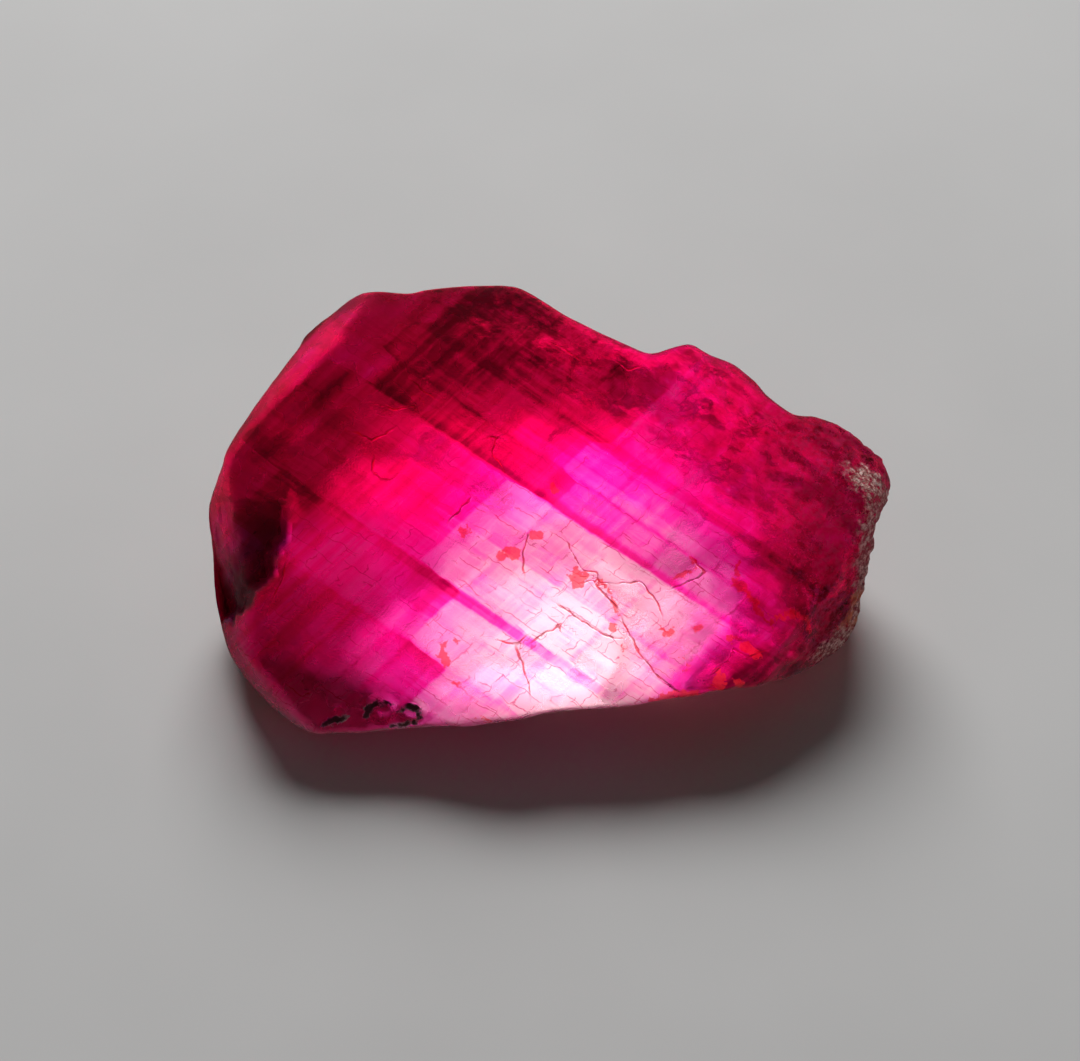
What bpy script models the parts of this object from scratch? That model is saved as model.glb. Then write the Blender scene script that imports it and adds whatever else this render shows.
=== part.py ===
"""A raw ruby crystal: one broken, water-worn stone at its real size, resting on its flat base facet.

The stone is shaped in the frame of its broad face, in millimetres: u along its length, v up the face,
w out of the face. It is then leaned back onto its base and moved so that the origin is under the
middle of its bounding box.
"""

import math

import bmesh
import bpy
import numpy as np
from mathutils import Matrix, Vector, noise

MM = 0.001

# The stone's driving dimensions, in millimetres and degrees
FACE_LEAN = 38.0  # the broad face's slope when the stone rests on its base
FRONT_BULGE = 7.6  # from the girdle out to the crown of the broad face
BACK_BULGE = 12.5  # from the girdle back to the crown of the broken side
FRONT_FULLNESS = 8.0  # 2 is an ellipsoid, more is boxier
BACK_FULLNESS = 2.5
BASE_DROP = 9.7  # from the girdle's middle down to the base facet
GIRDLE_WAVE = 1.1  # how far the girdle wanders to either side of its plane

# The broad face's outline, round from the knob on the right end, as (u, v)
OUTLINE = (
    (23.95, 1.7), (23.45, 3.1), (22.4, 4.05), (21.1, 5.1), (19.7, 5.95), (18.4, 6.4), (17.0, 6.55),
    (15.5, 7.65), (14.2, 9.0), (12.7, 10.15), (11.1, 10.8), (9.85, 11.45), (8.6, 11.2), (7.05, 10.7),
    (5.65, 11.15), (4.25, 11.75), (1.45, 13.25), (0.05, 14.2), (-1.4, 15.1), (-2.8, 15.6),
    (-5.6, 15.6), (-8.4, 15.35), (-9.9, 15.05), (-12.6, 15.2), (-14.0, 14.85), (-15.4, 13.8),
    (-16.8, 12.5), (-19.6, 8.6), (-21.9, 4.85), (-22.7, 2.75), (-23.6, 1.0), (-24.0, -0.4),
    (-23.8, -2.5), (-23.7, -5.7), (-23.3, -7.8), (-22.5, -10.3), (-21.3, -12.5), (-19.7, -14.1),
    (-17.5, -15.3), (-15.4, -15.65), (-9.1, -15.4), (-2.1, -14.75), (3.5, -13.9), (9.2, -13.3),
    (14.8, -12.2), (17.6, -11.45), (19.7, -10.5), (21.2, -9.4), (21.8, -6.7), (22.2, -3.6),
    (22.5, -1.5), (22.85, -0.4), (23.7, 0.6),
)
OUTLINE_STEPS = 8  # points in each span of the outline's smooth curve

# Flat facets that cut the rounded body: heading in the face plane, rise towards w, distance from
# the middle
FACETS = {
    "broad_face": (60.0, 86.0, 6.3),
    "upper_left_bevel": (134.0, 24.0, 18.9),
    "top_bevel": (84.0, 50.0, 10.9),
    "left_bevel": (188.0, 24.0, 22.2),
    "lower_left_bevel": (222.0, 18.0, 22.9),
    "right_end": (2.0, 22.0, 22.7),
    "lower_right_chip": (324.0, 36.0, 18.2),
    "upper_right_bevel": (58.0, 46.0, 12.4),
    "front_foot": (277.0, 0.0, 14.3),
    "back_parting": (96.0, -42.0, 12.9),
    "back_left_break": (158.0, -38.0, 18.0),
    "back_right_break": (28.0, -36.0, 18.1),
    "back_face": (350.0, -80.0, 11.0),
    "right_underside": (289.0, -50.0, 10.9),
    "back_underside": (270.0, -72.0, 9.9),
    "left_underside": (233.0, -46.0, 16.3),
}
FACET_ROUNDING = 0.8  # how widely wear has rounded the edges between facets

# The ledge beside the chipped hollow on the left, from its upper end down to the rim, as (u, v)
HOLLOW_LEDGE = (
    (-17.0, 3.4), (-17.3, 1.8), (-17.2, 0.4), (-17.5, -1.2), (-18.1, -3.3), (-19.4, -5.7),
    (-20.6, -7.1), (-22.2, -8.0), (-24.2, -8.6),
)
HOLLOW_DEPTH = 2.5
HOLLOW_WALL = 0.9  # how far the ledge's wall slopes
HOLLOW_WIDTH = 6.5  # from the ledge out to where the hollow runs out
HOLLOW_RUN_IN = 0.6  # the share of the ledge's length over which the hollow deepens
HOLLOW_RAGGED = 0.45  # how far the ledge's edge wanders
HOLLOW_RIPPLE = 0.1  # height of the shell-like ripples on the broken floor
RIPPLE_SPACING = 1.3

# Two families of parallel parting planes cross the stone. Each has the heading of its normal in
# the face plane, and the lean of that normal towards w.
PARTING = {"long": (56.0, 12.0), "cross": (133.0, -10.0)}
SLAB_THICKNESS = {"long": 2.6, "cross": 3.4}  # on average, of the slabs between parting planes
FRONT_LEDGE = {"long": 0.15, "cross": 0.07}  # the broad face is worn nearly smooth
BACK_LEDGE = 0.8  # the broken side keeps whole blocks
LEDGE_RISER = 0.7
SLABS = 64

# Etch pits at the foot of the broad face, and scattered small ones: (u, v, radius, depth)
ETCH_PITS = (
    (-11.5, -13.8, 1.1, 0.45),
    (-9.5, -13.9, 1.0, 0.4),
    (-14.6, -14.1, 0.7, 0.3),
    (16.4, 1.6, 0.5, 0.2),
    (12.2, 9.3, 0.6, 0.25),
    (10.6, 7.0, 0.5, 0.2),
    (-8.6, 9.4, 0.6, 0.2),
    (14.3, 6.2, 0.55, 0.25),
    (18.2, -5.6, 0.9, 0.3),
)

# The rough rind covers the right end, past this line that runs down the end of the face
RIND_START = 19.2
RIND_LEAN = 0.12
RIND_EDGE = 2.2  # how gradually the rind begins
RIND_GRAIN = 0.2
RIND_GRAIN_SIZE = 0.8

# Worn lumps: size and height of each scale. The right third is knobblier.
LUMPS = ((6.5, 0.34), (2.6, 0.14), (1.5, 0.05))
KNOBBLY_FROM, KNOBBLY_TO = 6.0, 15.0
KNOBS = (1.5, 0.15)

# Relief fades by this share within these distances of the rim and of the base
QUIET_SHARE = 0.8
FRONT_RIM_WIDTH = 6.0
BACK_RIM_WIDTH = 5.0
BASE_RIM_WIDTH = 2.5

SPHERE_SUBDIVISIONS = 7
SOLID_TRIANGLES = 9800


def smooth_step(x):
    x = np.clip(x, 0.0, 1.0)
    return x * x * (3.0 - 2.0 * x)


def smooth_max(a, b, width):
    """The larger of a and b, with the crease between them rounded over that width."""
    overlap = np.maximum(width - np.abs(a - b), 0.0) / width
    return np.maximum(a, b) + overlap * overlap * width / 4.0


def direction(heading, rise):
    """The unit vector at that heading in the face plane and that rise towards w, in degrees."""
    flat = math.cos(math.radians(rise))
    return np.array(
        (
            flat * math.cos(math.radians(heading)),
            flat * math.sin(math.radians(heading)),
            math.sin(math.radians(rise)),
        )
    )


def closed_curve(points, steps):
    """A smooth closed curve through the points, as a Catmull-Rom spline."""
    points = np.array(points, float)
    before, after, beyond = (np.roll(points, shift, axis=0) for shift in (1, -1, -2))
    curve = []
    for t in np.arange(steps) / steps:
        curve.append(
            0.5
            * (
                2.0 * points
                + (after - before) * t
                + (2.0 * before - 5.0 * points + 4.0 * after - beyond) * t**2
                + (3.0 * points - before - 3.0 * after + beyond) * t**3
            )
        )
    return np.stack(curve, axis=1).reshape(-1, 2)


def outline_by_angle():
    """The outline as rising angles about the middle, in radians, and the radius at each."""
    curve = closed_curve(OUTLINE, OUTLINE_STEPS)
    angle = np.arctan2(curve[:, 1], curve[:, 0])
    order = np.argsort(angle)
    return angle[order], np.hypot(curve[:, 0], curve[:, 1])[order]


def girdle_offset(u, v):
    """How far out the girdle lies at this place, so that the stone's rim isn't one flat ring."""
    return GIRDLE_WAVE * (np.sin(u / 6.5 + 0.6) + 0.6 * np.sin(v / 4.0 - u / 11.0))


def rounded_body(p, outline):
    """Below zero inside the worn body that the outline and the two bulges give, roughly in millimetres."""
    u, v = p[:, 0], p[:, 1]
    radius = np.interp(np.arctan2(v, u), *outline, period=2.0 * math.pi)
    reach = np.hypot(u, v) / radius
    w = p[:, 2] - girdle_offset(u, v) * smooth_step(reach)
    bulge = np.where(w > 0.0, FRONT_BULGE, BACK_BULGE)
    fullness = np.where(w > 0.0, FRONT_FULLNESS, BACK_FULLNESS)
    norm = (reach**fullness + np.abs(w / bulge) ** fullness) ** (1.0 / fullness)
    return (norm - 1.0) * bulge


def outside(p, outline):
    """Below zero inside the stone before its fine relief is added."""
    value = rounded_body(p, outline)
    for heading, rise, distance in FACETS.values():
        value = smooth_max(value, p @ direction(heading, rise) - distance, FACET_ROUNDING)
    return value


def first_surface(rays, outline):
    """Where each ray from the middle first leaves the stone: a coarse march, then halving."""
    near = np.zeros(len(rays))
    inside = np.ones(len(rays), bool)
    step = 0.4
    for _ in range(int(27.0 / step)):
        inside &= outside(rays * (near + step)[:, None], outline) < 0.0
        near += np.where(inside, step, 0.0)
    far = near + step
    for _ in range(12):
        middle = (near + far) / 2.0
        within = outside(rays * middle[:, None], outline) < 0.0
        near, far = np.where(within, middle, near), np.where(within, far, middle)
    return rays * near[:, None]


def slabs(p, family, seed):
    """Which slab between parting planes each point lies in, and how far up the riser to it."""
    thickness = np.random.default_rng(seed).uniform(0.4, 1.6, SLABS) * SLAB_THICKNESS[family]
    starts = np.cumsum(thickness) - thickness.sum() / 2.0
    distance = p @ direction(*PARTING[family])
    slab = np.clip(np.searchsorted(starts, distance) - 1, 1, SLABS - 1)
    return slab, smooth_step((distance - starts[slab]) / LEDGE_RISER)


def stepped(heights, slab, riser):
    """The height of each point's slab, with a short riser up or down from the slab before."""
    if heights.ndim == 1:
        return heights[slab - 1] * (1.0 - riser) + heights[slab] * riser
    point = np.arange(len(slab))
    return heights[slab - 1, point] * (1.0 - riser) + heights[slab, point] * riser


def roughness(p, size, seed):
    """Perlin noise from -1 to 1 with lumps of about that size."""
    shift = Vector((seed * 17.3, seed * 5.1, seed * 11.7))
    return np.array([noise.noise(Vector(q) / size + shift) for q in p])


def ledge_relief(p):
    """The steps that both parting families leave: faint lines in front, whole blocks behind."""
    random = np.random.default_rng(12)
    long_slab, long_riser = slabs(p, "long", 5)
    cross_slab, cross_riser = slabs(p, "cross", 6)
    long_lines = FRONT_LEDGE["long"] * stepped(random.uniform(-1.0, 1.0, SLABS), long_slab, long_riser)
    cross_lines = FRONT_LEDGE["cross"] * stepped(random.uniform(-1.0, 1.0, SLABS), cross_slab, cross_riser)
    block = random.uniform(-1.0, 1.0, (SLABS, SLABS))
    row_before = stepped(block[long_slab - 1].T, cross_slab, cross_riser)
    row = stepped(block[long_slab].T, cross_slab, cross_riser)
    blocks = BACK_LEDGE * (row_before * (1.0 - long_riser) + row * long_riser)
    behind = smooth_step((-p[:, 2] - 0.5) / 3.0)
    return (long_lines + cross_lines) * (1.0 - behind) + blocks * behind


def beyond_ledge(p):
    """How far each point lies past the hollow's ledge, and its share of the way down the ledge."""
    ledge = np.array(HOLLOW_LEDGE)
    nearest = np.full(len(p), np.inf)
    side = np.zeros(len(p))
    down = np.zeros(len(p))
    for i, (start, end) in enumerate(zip(ledge[:-1], ledge[1:])):
        run = end - start
        share = np.clip((p[:, :2] - start) @ run / (run @ run), 0.0, 1.0)
        apart = p[:, :2] - start - share[:, None] * run
        distance = np.linalg.norm(apart, axis=1)
        closer = distance < nearest
        turn = run[0] * apart[:, 1] - run[1] * apart[:, 0]
        side = np.where(closer, -np.sign(turn), side)
        down = np.where(closer, (i + share) / (len(ledge) - 1), down)
        nearest = np.where(closer, distance, nearest)
    return nearest * side, down


def hollow_depth(p):
    """The chipped hollow: a steep wall down from the ledge, then a floor that rises to the rim."""
    past, down = beyond_ledge(p)
    past += HOLLOW_RAGGED * roughness(p, 1.4, 7)
    wall = smooth_step(past / HOLLOW_WALL)
    floor = 1.0 - smooth_step((past - HOLLOW_WALL) / HOLLOW_WIDTH)
    ripple = HOLLOW_RIPPLE * np.sin(2.0 * math.pi * past / RIPPLE_SPACING)
    ends = smooth_step(down / HOLLOW_RUN_IN)
    front = smooth_step((p[:, 2] + 1.0) / 2.0)
    return (HOLLOW_DEPTH - ripple) * wall * floor * ends * front


def pit_depth(p):
    """Ring-shaped etch pits sunk into the broad face, each with a low boss in its middle."""
    sunk = np.zeros(len(p))
    front = smooth_step((p[:, 2] - 3.0) / 2.0)
    for u, v, radius, depth in ETCH_PITS:
        away = np.hypot(p[:, 0] - u, p[:, 1] - v) / radius
        bowl = smooth_step((1.0 - away) / 0.4)
        boss = 0.55 * smooth_step((0.5 - away) / 0.4)
        sunk += front * depth * (bowl - boss)
    return sunk


def rind_share(p):
    """From 0 on the worn crystal to 1 on the rough rind of the right end."""
    return smooth_step((p[:, 0] - RIND_START + RIND_LEAN * p[:, 1]) / RIND_EDGE)


def lump_relief(p):
    """Worn lumps everywhere, and a knobbly right third."""
    relief = np.zeros(len(p))
    for seed, (size, height) in enumerate(LUMPS, start=1):
        relief += height * roughness(p, size, seed)
    right = smooth_step((p[:, 0] - KNOBBLY_FROM) / (KNOBBLY_TO - KNOBBLY_FROM))
    size, height = KNOBS
    return relief + right * height * roughness(p, size, 3)


def whole_relief(p):
    """All that stands out from the plain form, kept low near the rim and the base, which stay true."""
    rim_width = np.where(p[:, 2] > 0.0, FRONT_RIM_WIDTH, BACK_RIM_WIDTH)
    rim = smooth_step(1.0 - np.abs(p[:, 2]) / rim_width)
    lean = math.radians(FACE_LEAN)
    height = p[:, 1] * math.sin(lean) + p[:, 2] * math.cos(lean) + BASE_DROP
    low = smooth_step(1.0 - height / BASE_RIM_WIDTH)
    kept = 1.0 - QUIET_SHARE * np.maximum(rim, low)
    grain = RIND_GRAIN * rind_share(p) * roughness(p, RIND_GRAIN_SIZE, 4)
    return kept * (ledge_relief(p) + lump_relief(p)) + grain


def normals_of(bm):
    bm.normal_update()
    return np.array([vertex.normal for vertex in bm.verts])


def stone_mesh():
    """The stone in the face frame, in millimetres, before it is set on its base."""
    bm = bmesh.new()
    bmesh.ops.create_icosphere(bm, subdivisions=SPHERE_SUBDIVISIONS, radius=1.0)
    rays = np.array([vertex.co for vertex in bm.verts]) * np.array((1.75, 1.2, 0.8))
    rays /= np.linalg.norm(rays, axis=1)[:, None]
    p = first_surface(rays, outline_by_angle())
    for vertex, place in zip(bm.verts, p):
        vertex.co = place
    shaped = p + normals_of(bm) * whole_relief(p)[:, None]
    shaped[:, 2] -= hollow_depth(p) + pit_depth(p)
    for vertex, place in zip(bm.verts, shaped):
        vertex.co = place
    mesh = bpy.data.meshes.new("fine_stone")
    bm.to_mesh(mesh)
    bm.free()
    return mesh


def simplified(mesh):
    """The same form with few triangles: flats keep large ones, edges and ledges keep small ones."""
    helper = bpy.data.objects.new("fine_stone", mesh)
    bpy.context.scene.collection.objects.link(helper)
    decimate = helper.modifiers.new("Decimate", "DECIMATE")
    decimate.ratio = SOLID_TRIANGLES / len(mesh.polygons)
    bpy.context.view_layer.update()
    evaluated = helper.evaluated_get(bpy.context.evaluated_depsgraph_get())
    result = bpy.data.meshes.new_from_object(evaluated)
    bpy.data.objects.remove(helper)
    return result


def keep_largest_piece(bm):
    """Drops the specks that a cut through low ledges leaves beside the stone."""
    left = set(bm.verts)
    pieces = []
    while left:
        piece, edge_of_piece = set(), [left.pop()]
        while edge_of_piece:
            vertex = edge_of_piece.pop()
            piece.add(vertex)
            fresh = {edge.other_vert(vertex) for edge in vertex.link_edges} & left
            left -= fresh
            edge_of_piece.extend(fresh)
        pieces.append(piece)
    pieces.sort(key=len)
    specks = [vertex for piece in pieces[:-1] for vertex in piece]
    bmesh.ops.delete(bm, geom=specks, context="VERTS")


def cut_base(bm):
    """Cuts the stone off flat where it rests, and closes the cut with one flat facet."""
    everything = bm.verts[:] + bm.edges[:] + bm.faces[:]
    bmesh.ops.bisect_plane(
        bm, geom=everything, plane_co=(0.0, 0.0, -BASE_DROP), plane_no=(0.0, 0.0, -1.0), clear_outer=True
    )
    keep_largest_piece(bm)
    rim = [edge for edge in bm.edges if edge.is_boundary]
    bmesh.ops.contextual_create(bm, geom=rim)
    bmesh.ops.recalc_face_normals(bm, faces=bm.faces[:])


def centre_on_origin(bm):
    """Moves the stone so that the origin lies on the base, under the middle of the bounding box."""
    places = np.array([vertex.co for vertex in bm.verts])
    low, high = places.min(axis=0), places.max(axis=0)
    middle = (low + high) / 2.0
    bmesh.ops.translate(bm, verts=bm.verts[:], vec=(-middle[0], -middle[1], -low[2]))


def ruby_material():
    material = bpy.data.materials.new("ruby")
    material.use_nodes = True
    shader = material.node_tree.nodes["Principled BSDF"]
    shader.inputs["Base Color"].default_value = (0.62, 0.01, 0.09, 1.0)
    shader.inputs["Roughness"].default_value = 0.25
    shader.inputs["Metallic"].default_value = 0.0
    shader.inputs["IOR"].default_value = 1.77
    return material


def make_crystal():
    mesh = simplified(stone_mesh())
    bm = bmesh.new()
    bm.from_mesh(mesh)
    bmesh.ops.transform(bm, verts=bm.verts[:], matrix=Matrix.Rotation(math.radians(FACE_LEAN), 4, "X"))
    cut_base(bm)
    centre_on_origin(bm)
    bmesh.ops.scale(bm, verts=bm.verts[:], vec=(MM, MM, MM))
    bm.to_mesh(mesh)
    bm.free()
    mesh.name = "ruby_crystal"
    mesh.materials.clear()
    mesh.materials.append(ruby_material())
    crystal = bpy.data.objects.new("ruby_crystal", mesh)
    bpy.context.scene.collection.objects.link(crystal)
    return crystal


def main():
    for obj in list(bpy.data.objects):
        bpy.data.objects.remove(obj)
    make_crystal()


main()
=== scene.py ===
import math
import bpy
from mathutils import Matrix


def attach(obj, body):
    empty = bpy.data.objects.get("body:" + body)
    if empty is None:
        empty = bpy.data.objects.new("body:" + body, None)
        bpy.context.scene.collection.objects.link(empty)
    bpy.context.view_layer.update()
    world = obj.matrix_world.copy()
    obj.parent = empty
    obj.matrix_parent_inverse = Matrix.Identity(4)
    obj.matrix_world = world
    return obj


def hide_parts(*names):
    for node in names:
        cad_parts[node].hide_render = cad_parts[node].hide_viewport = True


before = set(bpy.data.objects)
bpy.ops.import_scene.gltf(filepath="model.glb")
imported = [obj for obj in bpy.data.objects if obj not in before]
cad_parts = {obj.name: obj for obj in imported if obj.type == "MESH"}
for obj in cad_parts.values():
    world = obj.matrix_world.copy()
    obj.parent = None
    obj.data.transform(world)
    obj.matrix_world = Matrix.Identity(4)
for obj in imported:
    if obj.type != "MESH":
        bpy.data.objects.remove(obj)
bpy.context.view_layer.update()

# A raw ruby crystal, lit from below so that its inside shows.
#
# The stone is shaped in the frame of its broad face, in millimetres: u along its length, v up the
# face, w out of the face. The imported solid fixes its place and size, and this script repeats that
# form with a finer surface.

from types import SimpleNamespace

import bmesh
import bpy
import numpy as np
from mathutils import Matrix, Vector, noise

MM = 0.001

# The stone's driving dimensions, in millimetres and degrees
FACE_LEAN = 38.0  # the broad face's slope when the stone rests on its base
FRONT_BULGE = 7.6  # from the girdle out to the crown of the broad face
BACK_BULGE = 12.5  # from the girdle back to the crown of the broken side
FRONT_FULLNESS = 8.0  # 2 is an ellipsoid, more is boxier
BACK_FULLNESS = 2.5
BASE_DROP = 9.7  # from the girdle's middle down to the base facet
GIRDLE_WAVE = 1.1  # how far the girdle wanders to either side of its plane
MIDDLE = (0.02, 0.82, BASE_DROP)  # where the face frame's middle lies over the origin

# The broad face's outline, round from the knob on the right end, as (u, v)
OUTLINE = (
    (23.95, 1.7), (23.45, 3.1), (22.4, 4.05), (21.1, 5.1), (19.7, 5.95), (18.4, 6.4), (17.0, 6.55),
    (15.5, 7.65), (14.2, 9.0), (12.7, 10.15), (11.1, 10.8), (9.85, 11.45), (8.6, 11.2), (7.05, 10.7),
    (5.65, 11.15), (4.25, 11.75), (1.45, 13.25), (0.05, 14.2), (-1.4, 15.1), (-2.8, 15.6),
    (-5.6, 15.6), (-8.4, 15.35), (-9.9, 15.05), (-12.6, 15.2), (-14.0, 14.85), (-15.4, 13.8),
    (-16.8, 12.5), (-19.6, 8.6), (-21.9, 4.85), (-22.7, 2.75), (-23.6, 1.0), (-24.0, -0.4),
    (-23.8, -2.5), (-23.7, -5.7), (-23.3, -7.8), (-22.5, -10.3), (-21.3, -12.5), (-19.7, -14.1),
    (-17.5, -15.3), (-15.4, -15.65), (-9.1, -15.4), (-2.1, -14.75), (3.5, -13.9), (9.2, -13.3),
    (14.8, -12.2), (17.6, -11.45), (19.7, -10.5), (21.2, -9.4), (21.8, -6.7), (22.2, -3.6),
    (22.5, -1.5), (22.85, -0.4), (23.7, 0.6),
)
OUTLINE_STEPS = 8  # points in each span of the outline's smooth curve

# Flat facets that cut the rounded body: heading in the face plane, rise towards w, distance from
# the middle
FACETS = {
    "broad_face": (60.0, 86.0, 6.3),
    "upper_left_bevel": (134.0, 24.0, 18.9),
    "top_bevel": (84.0, 50.0, 10.9),
    "left_bevel": (188.0, 24.0, 22.2),
    "lower_left_bevel": (222.0, 18.0, 22.9),
    "right_end": (2.0, 22.0, 22.7),
    "lower_right_chip": (324.0, 36.0, 18.2),
    "upper_right_bevel": (58.0, 46.0, 12.4),
    "front_foot": (277.0, 0.0, 14.3),
    "back_parting": (96.0, -42.0, 12.9),
    "back_left_break": (158.0, -38.0, 18.0),
    "back_right_break": (28.0, -36.0, 18.1),
    "back_face": (350.0, -80.0, 11.0),
    "right_underside": (289.0, -50.0, 10.9),
    "back_underside": (270.0, -72.0, 9.9),
    "left_underside": (233.0, -46.0, 16.3),
}
FACET_ROUNDING = 0.8  # how widely wear has rounded the edges between facets

# The ledge beside the chipped hollow on the left, from its upper end down to the rim, as (u, v)
HOLLOW_LEDGE = (
    (-17.0, 3.4), (-17.3, 1.8), (-17.2, 0.4), (-17.5, -1.2), (-18.1, -3.3), (-19.4, -5.7),
    (-20.6, -7.1), (-22.2, -8.0), (-24.2, -8.6),
)
HOLLOW_DEPTH = 2.5
HOLLOW_WALL = 0.9  # how far the ledge's wall slopes
HOLLOW_WIDTH = 6.5  # from the ledge out to where the hollow runs out
HOLLOW_RUN_IN = 0.6  # the share of the ledge's length over which the hollow deepens
HOLLOW_RAGGED = 0.45  # how far the ledge's edge wanders
HOLLOW_RAGGED_SIZE = 1.4
HOLLOW_RIPPLE = 0.1  # height of the shell-like ripples on the broken floor
RIPPLE_SPACING = 1.3

# Two families of parallel parting planes cross the stone. Each has the heading of its normal in
# the face plane, and the lean of that normal towards w.
PARTING = {"long": (56.0, 12.0), "cross": (133.0, -10.0)}
SLAB_THICKNESS = {"long": 2.6, "cross": 3.4}  # on average, of the slabs between parting planes
FRONT_LEDGE = {"long": 0.06, "cross": 0.03}  # the broad face is worn nearly smooth
BACK_LEDGE = 0.8  # the broken side keeps whole blocks
LEDGE_RISER = 0.7
SLABS = 64

# Etch pits at the foot of the broad face, and scattered small ones: (u, v, radius, depth)
ETCH_PITS = (
    (-11.5, -13.8, 1.1, 0.45),
    (-9.5, -13.9, 1.0, 0.4),
    (-14.6, -14.1, 0.7, 0.3),
    (16.4, 1.6, 0.5, 0.2),
    (12.2, 9.3, 0.6, 0.25),
    (10.6, 7.0, 0.5, 0.2),
    (-8.6, 9.4, 0.6, 0.2),
    (14.3, 6.2, 0.55, 0.25),
    (18.2, -5.6, 0.9, 0.3),
)

# The rough rind covers the right end, past this line that runs down the end of the face
RIND_START = 19.2
RIND_LEAN = 0.12
RIND_EDGE = 2.2  # how gradually the rind begins
RIND_GRAIN = 0.2
RIND_GRAIN_SIZE = 0.8

# Worn lumps: size and height of each scale. The right third is knobblier.
LUMPS = ((6.5, 0.34), (2.6, 0.14), (1.5, 0.05))
KNOBBLY_FROM, KNOBBLY_TO = 6.0, 15.0
KNOBS = (1.5, 0.15)

# Relief fades by this share within these distances of the rim and of the base
QUIET_SHARE = 0.8
FRONT_RIM_WIDTH = 6.0
BACK_RIM_WIDTH = 5.0
BASE_RIM_WIDTH = 2.5

# The finer surface that only the looks have
MESH_CELLS = 126  # along each edge of the cube that the surface is spread from
CUBE_STRETCH = (1.75, 1.2, 0.8)  # so that the rays are spread evenly over the stone
MARCH_STEP = 0.4
FARTHEST = 27.0  # no part of the stone is farther from its middle
HALVINGS = 12
CREASE_ANGLE = 50.0
DRAWN_IN = 0.9995  # so that the fine relief stays within the solid's box
FINE_RIND = (0.35, 0.09)  # size and height
FINE_PITTING = (0.7, 0.05)
STRIATION = (0.45, 0.018)  # spacing and height of the growth lines on the worn faces

# Cracks near the surface, each a line of (u, v) places on the broad face
CRACKS = {
    "upper_zigzag": ((-11.6, 7.05), (-10.6, 6.75), (-9.9, 6.9), (-9.3, 7.1), (-9.1, 6.6)),
    "lower_zigzag": ((-13.6, 5.2), (-12.7, 4.95), (-12.2, 4.6), (-11.4, 4.95), (-10.6, 5.5)),
    "long_step": ((-9.6, 8.9), (-8.6, 8.0), (-7.9, 7.6)),
    "hook": ((-12.0, 3.6), (-12.1, 2.6), (-11.5, 2.0), (-10.7, 2.0), (-10.2, 2.5)),
    "loop": ((-4.4, 4.7), (-3.6, 4.9), (-4.0, 3.8), (-3.3, 3.0), (-3.0, 2.3)),
    "left_pair": ((-7.0, -1.0), (-5.9, 0.2), (-5.3, 0.8)),
    "river_1": ((1.0, -1.9), (1.6, -3.1), (2.3, -4.2), (3.3, -4.3), (3.4, -5.0), (4.4, -5.2)),
    "river_2": ((4.4, -5.2), (6.2, -4.9), (7.2, -6.3), (7.7, -7.5)),
    "fork": ((-1.3, -1.5), (-1.9, -3.0), (-1.7, -4.6)),
    "brown_v": ((4.7, -7.1), (5.9, -9.5), (7.1, -11.3), (8.9, -12.5)),
    "right_edge": ((2.0, -5.1), (3.0, -4.9), (4.8, -7.1)),
    "step_line": ((0.2, -6.3), (2.2, -7.7), (3.6, -8.6), (5.2, -8.9)),
    "right_loop": ((9.6, -3.2), (10.6, -4.4), (9.6, -5.0), (8.3, -5.5)),
    "foot_line": ((-1.5, -9.3), (-0.3, -8.5), (0.7, -8.0), (0.9, -8.6)),
    "star_1": ((-3.6, -9.0), (-2.4, -9.3), (-1.5, -8.6)),
    "star_2": ((-2.4, -9.3), (-1.9, -10.4), (-1.5, -11.8), (-1.2, -12.9)),
    "right_fan": ((11.0, -11.2), (12.1, -10.4), (12.6, -9.5), (13.3, -10.2), (14.9, -9.6)),
    "ledge_crack": ((-19.0, -6.2), (-18.2, -4.9), (-17.9, -3.5)),
    "top_scar": ((0.2, 11.2), (1.0, 10.8), (2.0, 10.1)),
    "right_scar": ((4.6, 10.0), (5.4, 9.4), (6.1, 9.6)),
}
CRACK_WANDER = 0.16  # how far the cracks' lines wander, and the size of that
CRACK_WANDER_SIZE = 0.5

# The dark edges of the etch pits at the foot of the face: (u, v, half its width) places
PIT_EDGES = {
    "first": (
        (-12.6, -14.3, 0.12), (-12.4, -13.7, 0.22), (-11.9, -13.4, 0.2), (-11.3, -13.35, 0.12),
        (-10.8, -13.6, 0.06),
    ),
    "second": ((-10.3, -13.85, 0.12), (-9.7, -13.6, 0.22), (-9.1, -13.8, 0.2), (-8.9, -14.3, 0.12)),
    "second_foot": ((-11.0, -15.0, 0.06), (-10.0, -14.9, 0.15), (-9.2, -14.75, 0.18), (-8.9, -14.4, 0.1)),
    "streak": ((-15.8, -14.9, 0.06), (-15.0, -14.6, 0.22), (-14.4, -14.4, 0.2), (-13.8, -14.2, 0.05)),
}

# The pale granular rind down the right edge of the broad face: (u, v, half its width) places
RIND_BAND = (
    (20.6, 2.5, 0.5), (21.8, 1.9, 0.9), (23.0, 0.6, 1.2), (22.3, -0.6, 1.0), (21.9, -2.4, 0.8),
    (21.9, -5.0, 0.6), (21.5, -7.0, 0.55), (20.9, -8.9, 1.0), (19.8, -9.8, 0.8), (18.4, -10.3, 0.25),
)

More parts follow.
